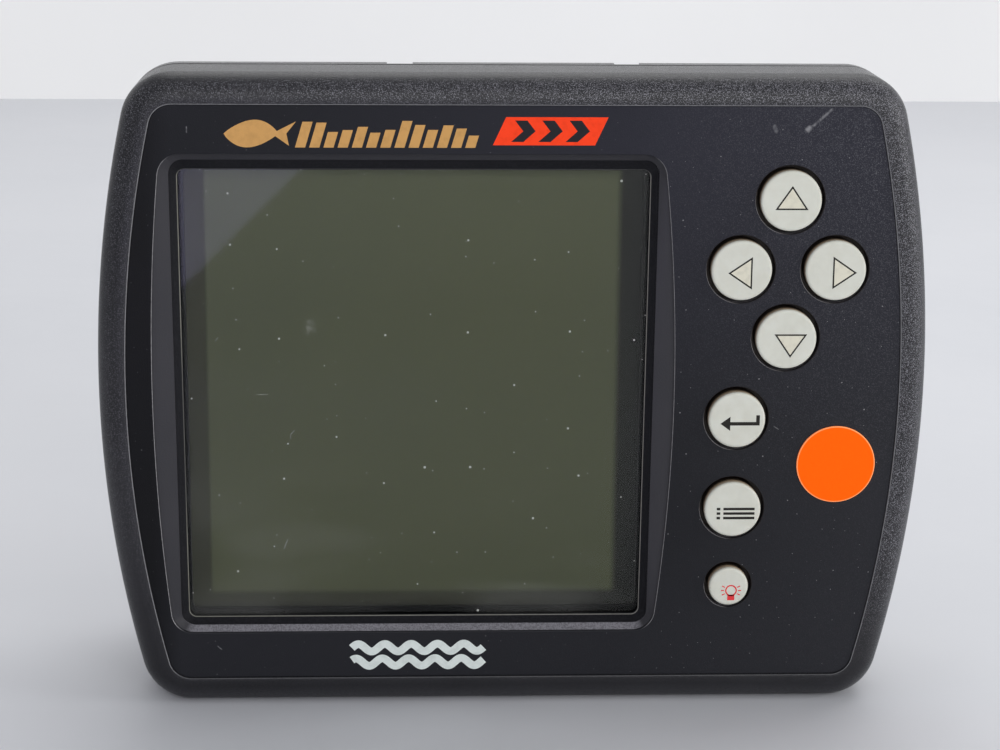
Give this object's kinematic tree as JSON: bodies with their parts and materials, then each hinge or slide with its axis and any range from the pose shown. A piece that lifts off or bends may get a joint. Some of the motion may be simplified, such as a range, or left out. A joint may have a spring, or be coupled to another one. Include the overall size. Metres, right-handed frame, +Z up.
{
  "type": "fish finder",
  "caption": "Marine fish finder head unit with bowed sides, a square display window, round rubber keys and a tapered rear shell with round sockets.",
  "frame": {"origin": "middle of the resting face, under the centre of the bounding box", "axes": "front faces -Y, the user's right is +X, up is +Z"},
  "size_m": [0.16, 0.0594, 0.1245],
  "materials": {
    "case": "fine sand-blasted texture, charcoal",
    "face": "satin printed film, navy black",
    "rubber": "moulded black rubber",
    "clear": "clear polished acrylic",
    "lcd": "unlit olive grey liquid crystal panel",
    "key": "satin cream silicone with printed symbols",
    "carbon": "conductive carbon rubber",
    "orange": "fluorescent orange paper sticker",
    "board": "green solder mask",
    "steel": "zinc plated steel",
    "brass": "turned brass",
    "chip": "black moulded epoxy",
    "socket": "black moulded nylon",
    "white": "white light diffuser",
    "copper": "varnished copper winding",
    "sleeve": "blue shrink sleeve",
    "film": "amber flexible circuit film",
    "plate": "blank satin grey plate"
  },
  "bodies": {
    "case": {"front_bezel": "case", "rear_housing": "case", "face_overlay": "face", "inventory_dot": "orange", "window_seal": "rubber", "window_lens": "clear", "lcd_frame": "steel", "lcd_glass": "lcd", "lcd_backlight": "white", "lcd_board": "board", "lcd_ribbon": "film", "keypad_mat": "rubber", "key_board": "board", "main_board": "board", "shield_can": "steel", "processor": "chip", "memory_chip": "chip", "sonar_transformer": "copper", "storage_capacitor": "sleeve", "power_inductor": "copper", "beeper": "chip", "board_header": "chip", "case_seal": "rubber", "rear_plate": "plate", "vent_plug": "rubber", "knob_insert_left": "brass", "knob_insert_right": "brass", "board_screw_1": "steel", "board_screw_2": "steel", "board_screw_3": "steel", "board_screw_4": "steel", "case_screw_1": "steel", "case_screw_2": "steel", "case_screw_3": "steel", "case_screw_4": "steel", "case_screw_5": "steel", "case_screw_6": "steel", "power_socket_shell": "socket", "power_socket_core": "brass", "power_socket_nut": "steel", "power_socket_seal": "rubber", "transducer_socket_shell": "socket", "transducer_socket_core": "brass", "transducer_socket_nut": "steel", "transducer_socket_seal": "rubber"},
    "key_up": {"key_up": "key", "key_up_contact": "carbon"},
    "key_down": {"key_down": "key", "key_down_contact": "carbon"},
    "key_left": {"key_left": "key", "key_left_contact": "carbon"},
    "key_right": {"key_right": "key", "key_right_contact": "carbon"},
    "key_select": {"key_select": "key", "key_select_contact": "carbon"},
    "key_menu": {"key_menu": "key", "key_menu_contact": "carbon"},
    "key_light": {"key_light": "key", "key_light_contact": "carbon"}
  },
  "joints": [
    {"name": "key_up_press", "type": "slide", "parent": "case", "child": "key_up", "axis": [0, 1, 0], "range_m": [0, 0.0012], "stiffness_N_per_m": 800, "springref_m": -0.0003},
    {"name": "key_down_press", "type": "slide", "parent": "case", "child": "key_down", "axis": [0, 1, 0], "range_m": [0, 0.0012], "stiffness_N_per_m": 800, "springref_m": -0.0003},
    {"name": "key_left_press", "type": "slide", "parent": "case", "child": "key_left", "axis": [0, 1, 0], "range_m": [0, 0.0012], "stiffness_N_per_m": 800, "springref_m": -0.0003},
    {"name": "key_right_press", "type": "slide", "parent": "case", "child": "key_right", "axis": [0, 1, 0], "range_m": [0, 0.0012], "stiffness_N_per_m": 800, "springref_m": -0.0003},
    {"name": "key_select_press", "type": "slide", "parent": "case", "child": "key_select", "axis": [0, 1, 0], "range_m": [0, 0.0012], "stiffness_N_per_m": 800, "springref_m": -0.0003},
    {"name": "key_menu_press", "type": "slide", "parent": "case", "child": "key_menu", "axis": [0, 1, 0], "range_m": [0, 0.0012], "stiffness_N_per_m": 800, "springref_m": -0.0003},
    {"name": "key_light_press", "type": "slide", "parent": "case", "child": "key_light", "axis": [0, 1, 0], "range_m": [0, 0.0012], "stiffness_N_per_m": 800, "springref_m": -0.0003}
  ]
}
